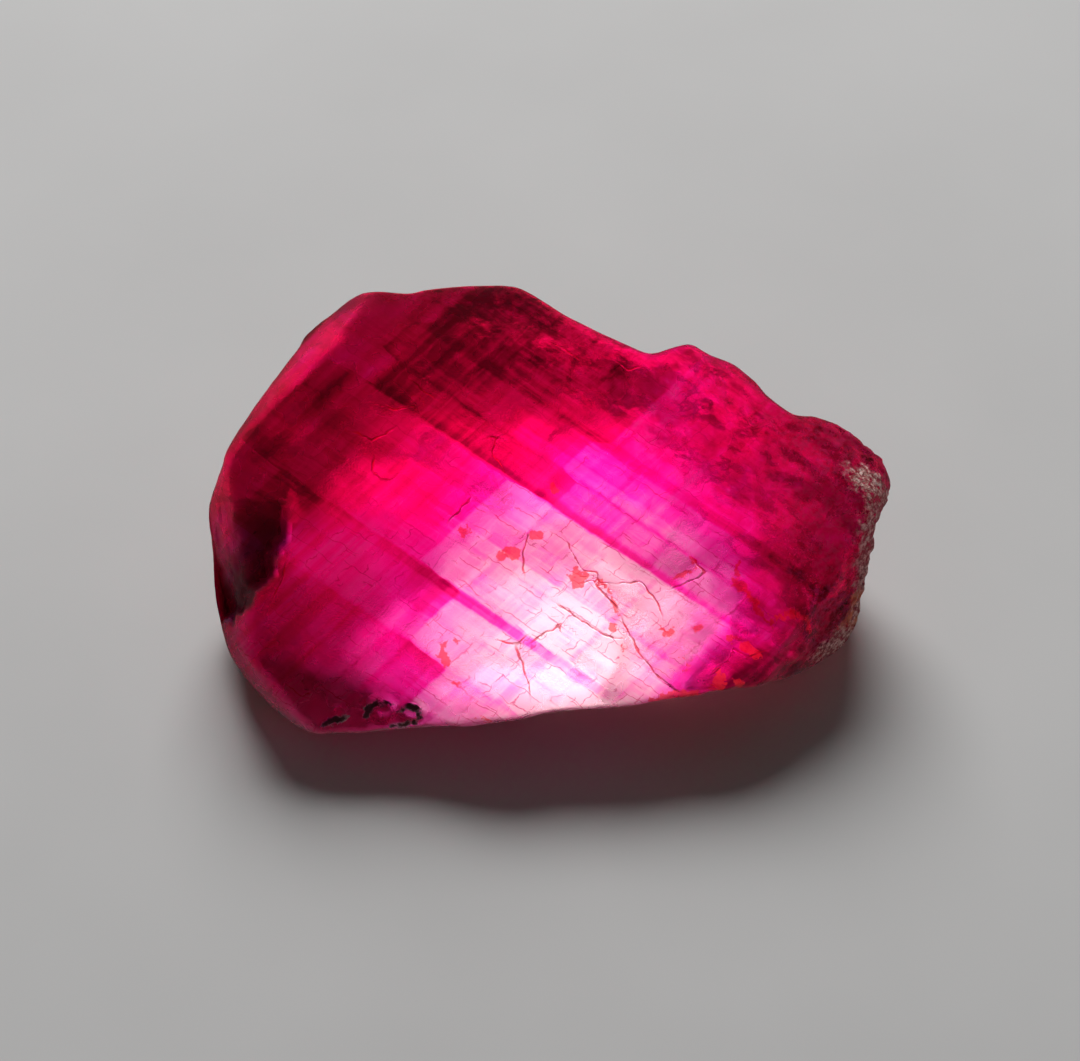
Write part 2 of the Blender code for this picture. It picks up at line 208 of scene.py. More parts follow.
# Wider breaks that show bright red, each a line of (u, v, half its width) places
RED_BREAKS = {
    "red_river": ((12.95, -3.6, 0.12), (12.75, -5.1, 0.3), (13.7, -6.0, 0.25), (14.35, -7.2, 0.2)),
    "dark_wing": ((14.9, -7.8, 0.2), (16.3, -7.15, 0.3), (17.6, -7.5, 0.25), (17.7, -8.6, 0.1)),
    "right_hook": ((9.8, -3.3, 0.08), (9.7, -4.3, 0.2), (8.4, -4.9, 0.12)),
    "foot_patch": ((7.1, -13.2, 0.3), (8.4, -12.9, 0.6), (9.9, -12.7, 0.3)),
    "fan_a": ((9.6, -10.4, 0.1), (9.3, -11.3, 0.25)),
    "fan_b": ((10.9, -12.3, 0.2), (11.6, -11.5, 0.3), (11.2, -10.8, 0.1)),
    "fan_c": ((11.4, -12.7, 0.1), (11.9, -11.9, 0.3), (11.7, -11.2, 0.1)),
    "river_drop": ((3.5, -4.7, 0.08), (4.3, -6.2, 0.2), (4.7, -7.2, 0.15)),
    "right_star": ((7.4, -8.1, 0.15), (8.3, -8.4, 0.3), (8.6, -7.8, 0.05)),
    "left_star": ((-7.3, -9.3, 0.1), (-7.2, -10.1, 0.3), (-6.9, -10.9, 0.1)),
    "left_arc": ((-7.5, -9.3, 0.06), (-6.6, -8.8, 0.12), (-6.1, -9.1, 0.05)),
    "foot_fleck": ((-5.1, -14.2, 0.05), (-4.5, -14.3, 0.18), (-4.0, -14.5, 0.1)),
}

# Flakes of an orange-red break that show through the clear part: (u, v, radius)
FLAKES = (
    (-2.6, -3.1, 0.45), (-0.9, -1.8, 0.4), (1.9, -4.75, 0.55), (-3.4, -3.3, 0.25), (-5.9, -1.5, 0.35),
    (4.3, -8.2, 0.3), (5.0, -9.5, 0.2), (0.3, 1.3, 0.35), (13.2, -9.4, 0.35), (14.0, -9.9, 0.4),
    (-6.4, -11.9, 0.3), (12.9, -12.0, 0.3), (10.1, -8.3, 0.3), (9.0, -10.3, 0.15), (12.4, -9.0, 0.25),
)
FLAKE_SPREAD = 1.2
FLAKE_RAGGED = 0.3  # how far the flakes' edges wander, and the size of that
FLAKE_RAGGED_SIZE = 0.6


def smooth_step(x):
    x = np.clip(x, 0.0, 1.0)
    return x * x * (3.0 - 2.0 * x)


def smooth_max(a, b, width):
    """The larger of a and b, with the crease between them rounded over that width."""
    overlap = np.maximum(width - np.abs(a - b), 0.0) / width
    return np.maximum(a, b) + overlap * overlap * width / 4.0


def direction(heading, rise):
    """The unit vector at that heading in the face plane and that rise towards w, in degrees."""
    flat = math.cos(math.radians(rise))
    return np.array(
        (
            flat * math.cos(math.radians(heading)),
            flat * math.sin(math.radians(heading)),
            math.sin(math.radians(rise)),
        )
    )


def closed_curve(points, steps):
    """A smooth closed curve through the points, as a Catmull-Rom spline."""
    points = np.array(points, float)
    before, after, beyond = (np.roll(points, shift, axis=0) for shift in (1, -1, -2))
    curve = []
    for t in np.arange(steps) / steps:
        curve.append(
            0.5
            * (
                2.0 * points
                + (after - before) * t
                + (2.0 * before - 5.0 * points + 4.0 * after - beyond) * t**2
                + (3.0 * points - before - 3.0 * after + beyond) * t**3
            )
        )
    return np.stack(curve, axis=1).reshape(-1, 2)


def outline_by_angle():
    """The outline as rising angles about the middle, in radians, and the radius at each."""
    curve = closed_curve(OUTLINE, OUTLINE_STEPS)
    angle = np.arctan2(curve[:, 1], curve[:, 0])
    order = np.argsort(angle)
    return angle[order], np.hypot(curve[:, 0], curve[:, 1])[order]


def girdle_offset(u, v):
    """How far out the girdle lies at this place, so that the stone's rim isn't one flat ring."""
    return GIRDLE_WAVE * (np.sin(u / 6.5 + 0.6) + 0.6 * np.sin(v / 4.0 - u / 11.0))


def rounded_body(p, outline):
    """Below zero inside the worn body that the outline and the two bulges give, in millimetres."""
    u, v = p[:, 0], p[:, 1]
    radius = np.interp(np.arctan2(v, u), *outline, period=2.0 * math.pi)
    reach = np.hypot(u, v) / radius
    w = p[:, 2] - girdle_offset(u, v) * smooth_step(reach)
    bulge = np.where(w > 0.0, FRONT_BULGE, BACK_BULGE)
    fullness = np.where(w > 0.0, FRONT_FULLNESS, BACK_FULLNESS)
    norm = (reach**fullness + np.abs(w / bulge) ** fullness) ** (1.0 / fullness)
    return (norm - 1.0) * bulge


def outside(p, outline):
    """Below zero inside the stone before its fine relief is added."""
    value = rounded_body(p, outline)
    for heading, rise, distance in FACETS.values():
        value = smooth_max(value, p @ direction(heading, rise) - distance, FACET_ROUNDING)
    return value


def first_surface(rays, outline):
    """Where each ray from the middle first leaves the stone: a coarse march, then halving."""
    near = np.zeros(len(rays))
    inside = np.ones(len(rays), bool)
    step = MARCH_STEP
    for _ in range(int(FARTHEST / step)):
        inside &= outside(rays * (near + step)[:, None], outline) < 0.0
        near += np.where(inside, step, 0.0)
    far = near + step
    for _ in range(HALVINGS):
        middle = (near + far) / 2.0
        within = outside(rays * middle[:, None], outline) < 0.0
        near, far = np.where(within, middle, near), np.where(within, far, middle)
    return rays * near[:, None]


def slabs(p, family, seed):
    """Which slab between parting planes each point lies in, and how far up the riser to it."""
    thickness = np.random.default_rng(seed).uniform(0.4, 1.6, SLABS) * SLAB_THICKNESS[family]
    starts = np.cumsum(thickness) - thickness.sum() / 2.0
    distance = p @ direction(*PARTING[family])
    slab = np.clip(np.searchsorted(starts, distance) - 1, 1, SLABS - 1)
    return slab, smooth_step((distance - starts[slab]) / LEDGE_RISER)


def stepped(heights, slab, riser):
    """The height of each point's slab, with a short riser up or down from the slab before."""
    if heights.ndim == 1:
        return heights[slab - 1] * (1.0 - riser) + heights[slab] * riser
    point = np.arange(len(slab))
    return heights[slab - 1, point] * (1.0 - riser) + heights[slab, point] * riser


def roughness(p, size, seed):
    """Perlin noise from -1 to 1 with lumps of about that size."""
    shift = Vector((seed * 17.3, seed * 5.1, seed * 11.7))
    return np.array([noise.noise(Vector(q) / size + shift) for q in p])


def ledge_relief(p):
    """The steps that both parting families leave: faint lines in front, whole blocks behind."""
    random = np.random.default_rng(12)
    long_slab, long_riser = slabs(p, "long", 5)
    cross_slab, cross_riser = slabs(p, "cross", 6)
    long_lines = FRONT_LEDGE["long"] * stepped(random.uniform(-1.0, 1.0, SLABS), long_slab, long_riser)
    cross_lines = FRONT_LEDGE["cross"] * stepped(random.uniform(-1.0, 1.0, SLABS), cross_slab, cross_riser)
    block = random.uniform(-1.0, 1.0, (SLABS, SLABS))
    row_before = stepped(block[long_slab - 1].T, cross_slab, cross_riser)
    row = stepped(block[long_slab].T, cross_slab, cross_riser)
    blocks = BACK_LEDGE * (row_before * (1.0 - long_riser) + row * long_riser)
    behind = smooth_step((-p[:, 2] - 0.5) / 3.0)
    return (long_lines + cross_lines) * (1.0 - behind) + blocks * behind


def beside_line(p, line):
    """For each point: its distance from the line of (u, v) places, the side of the line it is on
    (1 or -1), and its share of the way along the line."""
    line = np.array(line)
    nearest = np.full(len(p), np.inf)
    side = np.ones(len(p))
    along = np.zeros(len(p))
    for i, (start, end) in enumerate(zip(line[:-1], line[1:])):
        run = end - start
        share = np.clip((p[:, :2] - start) @ run / (run @ run), 0.0, 1.0)
        apart = p[:, :2] - start - share[:, None] * run
        distance = np.linalg.norm(apart, axis=1)
        closer = distance < nearest
        turn = run[0] * apart[:, 1] - run[1] * apart[:, 0]
        side = np.where(closer, -np.sign(turn), side)
        along = np.where(closer, (i + share) / (len(line) - 1), along)
        nearest = np.where(closer, distance, nearest)
    return nearest, side, along


def past_ledge(p):
    """How far past the hollow's ragged ledge each point lies, in millimetres, and its share of the
    way down the ledge."""
    distance, side, down = beside_line(p, HOLLOW_LEDGE)
    return distance * side + HOLLOW_RAGGED * roughness(p, HOLLOW_RAGGED_SIZE, 7), down


def hollow_shade(p):
    """How dark the chipped hollow makes each point: darkest right beside the ledge, low down."""
    past, down = past_ledge(p)
    beside = smooth_step((past + 0.1) / 0.5) * (1.0 - smooth_step((past - 1.5) / 6.5))
    front = smooth_step((p[:, 2] + 1.0) / 2.0)
    return beside * smooth_step(down / 0.45) * front


def hollow_share(p):
    """How deep into the chipped hollow each point lies, from 0 outside it to 1 at the ledge's foot,
    and how far past the ledge."""
    past, down = past_ledge(p)
    wall = smooth_step(past / HOLLOW_WALL)
    floor = 1.0 - smooth_step((past - HOLLOW_WALL) / HOLLOW_WIDTH)
    ends = smooth_step(down / HOLLOW_RUN_IN)
    front = smooth_step((p[:, 2] + 1.0) / 2.0)
    return wall * floor * ends * front, past


def hollow_depth(p):
    """The chipped hollow: a steep wall down from the ledge, then a floor that rises to the rim."""
    share, past = hollow_share(p)
    ripple = HOLLOW_RIPPLE * np.sin(2.0 * math.pi * past / RIPPLE_SPACING)
    return (HOLLOW_DEPTH - ripple) * share


def pit_depth(p):
    """Ring-shaped etch pits sunk into the broad face, each with a low boss in its middle."""
    sunk = np.zeros(len(p))
    front = smooth_step((p[:, 2] - 3.0) / 2.0)
    for u, v, radius, depth in ETCH_PITS:
        away = np.hypot(p[:, 0] - u, p[:, 1] - v) / radius
        bowl = smooth_step((1.0 - away) / 0.4)
        boss = 0.55 * smooth_step((0.5 - away) / 0.4)
        sunk += front * depth * (bowl - boss)
    return sunk


def rind_share(p):
    """From 0 on the worn crystal to 1 on the rough rind of the right end."""
    return smooth_step((p[:, 0] - RIND_START + RIND_LEAN * p[:, 1]) / RIND_EDGE)


def knobbly_share(p):
    return smooth_step((p[:, 0] - KNOBBLY_FROM) / (KNOBBLY_TO - KNOBBLY_FROM))


def lump_relief(p):
    """Worn lumps everywhere, and a knobbly right third."""
    relief = np.zeros(len(p))
    for seed, (size, height) in enumerate(LUMPS, start=1):
        relief += height * roughness(p, size, seed)
    size, height = KNOBS
    return relief + knobbly_share(p) * height * roughness(p, size, 3)


def whole_relief(p):
    """All that stands out from the plain form, kept low near the rim and the base, which stay true."""
    rim_width = np.where(p[:, 2] > 0.0, FRONT_RIM_WIDTH, BACK_RIM_WIDTH)
    rim = smooth_step(1.0 - np.abs(p[:, 2]) / rim_width)
    lean = math.radians(FACE_LEAN)
    height = p[:, 1] * math.sin(lean) + p[:, 2] * math.cos(lean) + BASE_DROP
    low = smooth_step(1.0 - height / BASE_RIM_WIDTH)
    kept = 1.0 - QUIET_SHARE * np.maximum(rim, low)
    grain = RIND_GRAIN * rind_share(p) * roughness(p, RIND_GRAIN_SIZE, 4)
    return kept * (ledge_relief(p) + lump_relief(p)) + grain + fine_relief(p)


def fine_relief(p):
    """What is too fine for the solid: growth lines, small pits and the rind's sharp grain."""
    spacing, height = STRIATION
    distance = p @ direction(*PARTING["long"])
    lines = height * np.array([noise.noise(Vector((d / spacing, 3.1, 7.7))) for d in distance])
    size, depth = FINE_PITTING
    pitting = -depth * knobbly_share(p) * np.maximum(roughness(p, size, 8), 0.0)
    size, height = FINE_RIND
    return lines + pitting + height * rind_share(p) * roughness(p, size, 9)


def cube_sphere(cells):
    """The points of a cube's skin, welded, as directions, and the quads between them."""
    steps = np.linspace(-1.0, 1.0, cells + 1)
    grid = np.tan(steps * math.pi / 4.0)
    index, points, quads = {}, [], []
    for axis in range(3):
        for sign in (-1.0, 1.0):
            numbers = np.zeros((cells + 1, cells + 1), int)
            for i in range(cells + 1):
                for j in range(cells + 1):
                    key = [0, 0, 0]
                    key[axis] = cells if sign > 0 else 0
                    key[(axis + 1) % 3] = i
                    key[(axis + 2) % 3] = j
                    key = tuple(key)
                    if key not in index:
                        index[key] = len(points)
                        points.append([grid[k] for k in key])
                    numbers[i, j] = index[key]
            a, b = numbers[:-1, :-1].ravel(), numbers[1:, :-1].ravel()
            c, d = numbers[1:, 1:].ravel(), numbers[:-1, 1:].ravel()
            quads.append(np.stack((a, b, c, d) if sign > 0 else (d, c, b, a), axis=1))
    return np.array(points), np.concatenate(quads)


def face_to_row(p):
    """From the face frame, in millimetres, to the part's own frame, in metres."""
    turn = np.array(Matrix.Rotation(math.radians(FACE_LEAN), 3, "X"))
    return (p @ turn.T + np.array(MIDDLE)) * MM


def vertex_normals(points, quads):
    across = points[quads[:, 2]] - points[quads[:, 0]]
    along = points[quads[:, 3]] - points[quads[:, 1]]
    facing = np.cross(across, along)
    normals = np.zeros_like(points)
    for corner in range(4):
        np.add.at(normals, quads[:, corner], facing)
    return normals / np.linalg.norm(normals, axis=1)[:, None]


def crack_fields(p):
    """For each point: the signed distance from the nearest crack, and how strongly it shows."""
    q = p.copy()
    q[:, 0] += CRACK_WANDER * roughness(p, CRACK_WANDER_SIZE, 21)
    q[:, 1] += CRACK_WANDER * roughness(p, CRACK_WANDER_SIZE, 22)
    nearest = np.full(len(p), 9.0)
    signed = np.full(len(p), 9.0)
    shown = np.zeros(len(p))
    for line in CRACKS.values():
        distance, side, along = beside_line(q, line)
        closer = distance < nearest
        ends = smooth_step(np.minimum(along, 1.0 - along) / 0.12)
        signed = np.where(closer, distance * side, signed)
        shown = np.where(closer, 0.25 + 0.75 * ends, shown)
        nearest = np.where(closer, distance, nearest)
    front = smooth_step((p[:, 2] - 0.5) / 1.5)
    return np.clip(signed, -1.0, 1.0), shown * front * (nearest < 0.9)


def flake_field(p):
    """For each point: above zero inside a flake or a red break, in millimetres, on the broad face."""
    ragged = np.stack([roughness(p, FLAKE_RAGGED_SIZE, 30 + i) for i in range(3)], axis=1)
    q = p + FLAKE_RAGGED * ragged
    value = np.full(len(p), -1.0)
    for u, v, radius in FLAKES:
        value = np.maximum(value, FLAKE_SPREAD * radius - np.hypot(q[:, 0] - u, q[:, 1] - v))
    for places in RED_BREAKS.values():
        value = np.maximum(value, band_field(q, places))
    return np.where(p[:, 2] > 0.5, np.clip(value, -1.0, 1.0), -1.0)


def band_field(p, places):
    """For each point: above zero within the band along the (u, v, half width) places, in millimetres."""
    distance, _, along = beside_line(p, [place[:2] for place in places])
    half_width = np.interp(along, np.linspace(0.0, 1.0, len(places)), [place[2] for place in places])
    return half_width - distance


def pit_edge_field(p):
    """For each point: above zero on the dark edge of an etch pit, in millimetres."""
    value = np.full(len(p), -1.0)
    for places in PIT_EDGES.values():
        value = np.maximum(value, band_field(p, places))
    return np.where(p[:, 2] > -0.5, value, -1.0)


def cut_flat(bm):
    """Cuts the stone off flat where it rests, keeps the stone itself, and closes the cut."""
    bmesh.ops.bisect_plane(
        bm,
        geom=bm.verts[:] + bm.edges[:] + bm.faces[:],
        plane_co=(0.0, 0.0, 0.0),
        plane_no=(0.0, 0.0, -1.0),
        clear_outer=True,
    )
    left = set(bm.verts)
    pieces = []
    while left:
        piece, waiting = set(), [left.pop()]
        while waiting:
            vertex = waiting.pop()
            piece.add(vertex)
            fresh = {edge.other_vert(vertex) for edge in vertex.link_edges} & left
            left -= fresh
            waiting.extend(fresh)
        pieces.append(piece)
    pieces.sort(key=len)
    specks = [vertex for piece in pieces[:-1] for vertex in piece]
    bmesh.ops.delete(bm, geom=specks, context="VERTS")
    rim = [edge for edge in bm.edges if edge.is_boundary]
    bmesh.ops.contextual_create(bm, geom=rim)


def make_stone():
    cube, quads = cube_sphere(MESH_CELLS)
    rays = cube * np.array(CUBE_STRETCH)
    rays /= np.linalg.norm(rays, axis=1)[:, None]
    plain = first_surface(rays, outline_by_angle())
    p = plain + vertex_normals(plain, quads) * whole_relief(plain)[:, None]
    p[:, 2] -= hollow_depth(plain) + pit_depth(plain)
    p *= DRAWN_IN
    signed, shown = crack_fields(plain)
    fields = {
        "crack_side": signed,
        "crack_shown": shown,
        "flake": flake_field(plain),
        "pit_edge": pit_edge_field(plain),
        "rind_band": np.clip(band_field(plain, RIND_BAND), -2.0, 2.0),
        # The painted shade of the chipped hollow
        "hollow": hollow_shade(plain),
    }
    mesh = bpy.data.meshes.new("raw_ruby")
    mesh.from_pydata(face_to_row(p).tolist(), [], quads.tolist())
    for name, values in fields.items():
        attribute = mesh.attributes.new(name, "FLOAT", "POINT")
        attribute.data.foreach_set("value", values.astype(np.float32))
    bm = bmesh.new()
    bm.from_mesh(mesh)
    cut_flat(bm)
    bmesh.ops.triangulate(bm, faces=[face for face in bm.faces if len(face.verts) > 4])
    bmesh.ops.recalc_face_normals(bm, faces=bm.faces[:])
    bm.to_mesh(mesh)
    bm.free()
    mesh.shade_smooth()
    mesh.set_sharp_from_angle(angle=math.radians(CREASE_ANGLE))
    stone = bpy.data.objects.new("raw_ruby", mesh)
    bpy.context.scene.collection.objects.link(stone)
    return stone


class Nodes:
    """Short names for building one material's node tree."""

    def __init__(self, name):
        self.material = bpy.data.materials.new(name)
        self.material.use_nodes = True
        self.tree = self.material.node_tree
        self.shader = self.tree.nodes["Principled BSDF"]
        self.output = self.tree.nodes["Material Output"]

    def new(self, kind, **settings):
        node = self.tree.nodes.new(kind)
        for key, value in settings.items():
            setattr(node, key, value)
        return node

    def plug(self, value, socket):
        if isinstance(value, bpy.types.NodeSocket):
            self.tree.links.new(value, socket)
        else:
            socket.default_value = value

    def math(self, operation, *values):
        node = self.new("ShaderNodeMath", operation=operation)
        for value, socket in zip(values, node.inputs):
            self.plug(value, socket)
        return node.outputs[0]

    def add(self, a, b):
        return self.math("ADD", a, b)

    def times(self, a, b):
        return self.math("MULTIPLY", a, b)

    def dot(self, vector, constant):
        node = self.new("ShaderNodeVectorMath", operation="DOT_PRODUCT")
        self.plug(vector, node.inputs[0])
        node.inputs[1].default_value = constant
        return node.outputs["Value"]

    def combine(self, x, y, z):
        node = self.new("ShaderNodeCombineXYZ")
        for value, socket in zip((x, y, z), node.inputs):
            self.plug(value, socket)
        return node.outputs[0]

    def span(self, value, low, high, to_low=0.0, to_high=1.0, smooth=True):
        """to_low at low, to_high at high, and a smooth or straight change between."""
        node = self.new("ShaderNodeMapRange")
        node.interpolation_type = "SMOOTHSTEP" if smooth else "LINEAR"
        for entry, socket in zip((value, low, high, to_low, to_high), node.inputs):
            self.plug(entry, socket)
        return node.outputs[0]

    def noise(self, vector, scale, detail=2.0, rough=0.5, dimensions="3D"):
        node = self.new("ShaderNodeTexNoise", noise_dimensions=dimensions)
        if dimensions == "1D":
            self.plug(vector, node.inputs["W"])
        else:
            self.plug(vector, node.inputs["Vector"])
        node.inputs["Scale"].default_value = scale
        node.inputs["Detail"].default_value = detail
        node.inputs["Roughness"].default_value = rough
        return node.outputs["Fac"]

    def ramp(self, value, stops):
        """The colour, or the grey level, that the (position, colour) stops give at the value."""
        node = self.new("ShaderNodeValToRGB")
        elements = node.color_ramp.elements
        while len(elements) < len(stops):
            elements.new(1.0)
        for element, (position, colour) in zip(elements, stops):
            element.position = position
            element.color = (*colour, 1.0) if isinstance(colour, tuple) else (colour, colour, colour, 1.0)
        self.plug(value, node.inputs[0])
        return node.outputs[0]

    def mix(self, share, a, b, blend="MIX"):
        node = self.new("ShaderNodeMix", data_type="RGBA", blend_type=blend)
        colours = [socket for socket in node.inputs if socket.type == "RGBA"]
        self.plug(share, node.inputs["Factor"])
        self.plug(a if isinstance(a, bpy.types.NodeSocket) else (*a, 1.0), colours[0])
        self.plug(b if isinstance(b, bpy.types.NodeSocket) else (*b, 1.0), colours[1])
        return next(socket for socket in node.outputs if socket.type == "RGBA")

    def field(self, name):
        return self.new("ShaderNodeAttribute", attribute_name=name).outputs["Fac"]

    def profile(self, value, low, high, stops, tallest=1.0):
        """A height that changes along a distance in millimetres, from its (distance, height) stops,
        as a share of the tallest."""
        share = self.span(value, low, high, smooth=False)
        placed = [((distance - low) / (high - low), height / tallest) for distance, height in stops]
        return self.ramp(share, placed)


# How pale the stone is across the cross family of planes: (distance in millimetres, paleness).
# Its steps are the stone's own zoning; its broad rise to the near-white middle is painted glow of the light
# beneath.
CROSS_TONE = (
    (-21.0, 0.34), (-17.0, 0.45), (-15.0, 0.66), (-13.5, 0.84), (-10.1, 0.92), (-9.9, 0.97),
    (-8.9, 0.97), (-8.5, 0.86), (-8.2, 0.95), (-4.4, 0.93), (-4.2, 0.84), (-3.6, 0.84), (-3.4, 0.88),
    (-0.6, 0.85), (-0.3, 0.79), (0.1, 0.84), (3.3, 0.8), (3.5, 0.6), (4.1, 0.59), (4.3, 0.53),
    (6.1, 0.51), (6.3, 0.46), (7.4, 0.46), (7.6, 0.42), (10.1, 0.37), (10.5, 0.29), (11.8, 0.29),
    (12.0, 0.25), (14.1, 0.26), (14.3, 0.21), (17.8, 0.2), (18.0, 0.34),
)
# How much of that paleness is left across the long family
LONG_SHARE = (
    (-19.0, 0.78), (-16.1, 0.78), (-15.9, 0.9), (-13.2, 0.92), (-12.9, 0.75),
    (-12.6, 1.05), (-10.7, 1.07), (-10.6, 0.97), (-10.4, 1.05), (-8.8, 1.04), (-8.6, 0.8),
    (-8.1, 0.82), (-7.9, 1.0), (-4.2, 1.02), (-4.1, 0.92),
    (-1.0, 1.02), (-0.8, 0.96), (0.1, 1.04), (0.25, 0.7), (0.6, 0.74), (0.9, 0.88), (2.45, 0.86),
    (2.65, 0.74), (2.9, 0.85), (3.6, 0.85), (3.8, 0.78), (5.3, 0.72), (5.5, 0.56), (6.1, 0.56),
    (6.3, 0.66), (9.0, 0.6),
)
# How pale the back and the underside are painted, away from the middle of the painted glow of the
# light beneath: (share of the way out, paleness)
PAINTED_GLOW_MIDDLE = (1.5, -8.5)
PAINTED_GLOW_REACH = (12.5, 11.5)
PAINTED_GLOW_TONE = (
    (0.0, 0.93), (0.3, 0.9), (0.5, 0.85), (0.75, 0.72), (1.0, 0.52), (1.3, 0.36), (1.6, 0.27),
    (2.0, 0.18),
)
LARGEST_SHIFT = 6.6
# How far the cross family's tones are shifted in each slab of the long family, in millimetres
SLAB_SHIFT = (
    (-13.0, LARGEST_SHIFT), (-12.8, 3.4), (-8.1, 3.4), (-7.9, 0.0), (0.1, 0.0), (0.3, 3.4), (2.5, 3.4),
    (2.7, 2.0), (5.4, 2.0), (6.0, 3.0),
)


# The skin's colour from the deepest ruby, 0, to the palest, 1. The near-white end is painted glow of the
# light beneath.
RUBY_TONES = (
    (0.0, (0.03, 0.0, 0.002)),
    (0.1, (0.12, 0.0, 0.008)),
    (0.2, (0.38, 0.0, 0.028)),
    (0.35, (0.66, 0.0008, 0.09)),
    (0.47, (0.84, 0.0016, 0.19)),
    (0.55, (0.93, 0.0035, 0.33)),
    (0.65, (1.0, 0.026, 0.5)),
    (0.75, (1.0, 0.16, 0.64)),
    (0.86, (1.0, 0.42, 0.72)),
    (0.93, (1.0, 0.72, 0.86)),
    (1.0, (1.0, 0.95, 0.95)),
)
RIND_TONES = (
    (0.34, (0.05, 0.008, 0.008)),
    (0.45, (0.22, 0.06, 0.055)),
    (0.52, (0.58, 0.3, 0.26)),
    (0.62, (0.95, 0.74, 0.68)),
)
# The near-black painted shade of the chipped hollow
HOLLOW_SHADE_TONE = (0.02, 0.0, 0.001)
JOINT_TINT = (0.45, 0.03, 0.16)
FLAKE_TONES = ((0.7, 0.0001, 0.003), (0.95, 0.02, 0.012))
CRACK_TONES = ((0.5, 0.0, 0.006), (0.08, 0.0, 0.001))
SPECK_TONE = (0.3, 0.002, 0.03)
PIT_EDGE_TONE = (0.03, 0.006, 0.005)
FROST_TONE = (0.5, 0.08, 0.26)
STAIN_TONE = (0.8, 0.24, 0.06)
STAIN_HEIGHT = -6.9  # up the face, where rust stains the rind
RUBY_IOR = 1.77
RUBY_GLOSS = (1.0, 0.12, 0.2, 1.0)
DEPTH_COLOUR = (0.95, 0.4, 0.7, 1.0)
DEPTH_DENSITY = 70.0
PROFILE_REACH = 20.0  # to either side of the middle, for what changes along the long family
CROSS_REACH = 25.0
# The blocks' sizes: along and across the partings in millimetres, and a shift of the pattern
BLOCKS = ((3.3, 1.25, 3.0), (1.9, 2.7, 5.0), (2.3, 1.5, 9.0))
JOINT_WIDTH = 0.05


def face_places(n):
    """Where a point of the skin lies, in the face frame and across both parting families, and the
    noises that several marks share."""
    at = SimpleNamespace()
    place = n.new("ShaderNodeTexCoord").outputs["Object"]
    lean = math.radians(FACE_LEAN)
    axis_u = (1.0, 0.0, 0.0)
    axis_v = (0.0, math.cos(lean), math.sin(lean))
    axis_w = (0.0, -math.sin(lean), math.cos(lean))
    places = []
    for axis in (axis_u, axis_v, axis_w):
        shift = -sum(a * m for a, m in zip(axis, MIDDLE))
        places.append(n.add(n.dot(place, tuple(a / MM for a in axis)), shift))
    at.u, at.v, at.w = places
    at.face = n.combine(*places)
    at.long = n.dot(at.face, tuple(direction(PARTING["long"][0], 0.0)))
    cross = n.dot(at.face, tuple(direction(PARTING["cross"][0], 0.0)))
    at.long_bent = n.add(at.long, n.times(n.add(n.noise(at.face, 0.8, 1.0), -0.5), 0.2))
    at.cross_bent = n.add(cross, n.times(n.add(n.noise(at.face, 0.7, 1.0), -0.5), 0.25))
    at.patchy = n.noise(at.face, 0.5, 2.0)
    at.waver = n.noise(at.face, 0.9, 3.0)
    at.mottle = n.add(n.noise(at.face, 1.1, 4.0, 0.65), -0.5)
    at.ragged = n.times(n.add(n.noise(at.face, 2.6, 3.0, 0.6), -0.5), 0.9)
    at.mottled = n.math("MAXIMUM", n.span(at.long, 5.6, 8.0), n.span(at.u, 10.0, 19.0))
    at.front = n.span(at.w, -1.0, 1.5)
    return at


def banded_tone(n, at):
    """Pale in the lower middle, where the glow of the light beneath is painted, and deep towards the ends,
    in steps at the parting planes that are the stone's own zoning.
    """
    u, v = at.u, at.v
    shift = n.profile(at.long_bent, -PROFILE_REACH, PROFILE_REACH, SLAB_SHIFT, LARGEST_SHIFT)
    shifted = n.add(at.cross_bent, n.times(shift, LARGEST_SHIFT))
    cross_tone = n.profile(shifted, -CROSS_REACH, CROSS_REACH, CROSS_TONE)
    long_share = n.profile(at.long_bent, -PROFILE_REACH, PROFILE_REACH, LONG_SHARE)
    contrast = n.times(n.span(u, -16.0, -8.0, 0.4, 1.0), n.span(v, -12.0, -7.0, 0.45, 1.0))
    long_share = n.add(1.0, n.times(n.add(long_share, -1.0), contrast))
    tone = n.times(cross_tone, long_share)
    tone = n.times(tone, n.span(u, 8.0, 19.0, 1.0, 0.52))
    upper_right = n.times(n.span(u, 7.0, 13.0), n.span(v, 1.0, 6.0))
    return n.times(tone, n.span(upper_right, 0.0, 1.0, 1.0, 0.78))


def growth_lines(n, at):
    """What the fine lines along both parting families add to the tone."""
    long_lines = n.add(n.noise(at.long_bent, 2.2, 4.0, 0.65, "1D"), -0.5)
    cross_lines = n.add(n.noise(at.cross_bent, 0.9, 3.0, 0.6, "1D"), -0.5)
    lower_left = n.times(n.span(at.u, -8.0, -13.0), n.span(at.v, 1.0, -3.0))
    wide = n.span(n.noise(at.face, 0.28, 1.0), 0.35, 0.65)
    fade = n.times(wide, n.math("SUBTRACT", 1.0, lower_left))
    lines = n.add(n.times(long_lines, fade), n.times(cross_lines, n.math("SUBTRACT", 1.2, fade)))
    stripes = n.times(lower_left, n.add(n.times(cross_lines, 0.2), 0.2))
    return n.add(n.times(lines, 0.24), stripes)


def mottling(n, at):
    """What the clouding, the mottled upper part and right third, and the thin rim add to the tone."""
    clouds = n.add(n.times(n.add(at.patchy, -0.5), 0.08), n.times(at.ragged, 0.06))
    rim = n.span(n.math("ABSOLUTE", n.add(at.w, -0.3)), 1.6, 0.3)
    added = n.add(clouds, n.times(n.times(at.mottle, at.mottled), 0.4))
    return n.add(added, n.times(rim, 0.07))


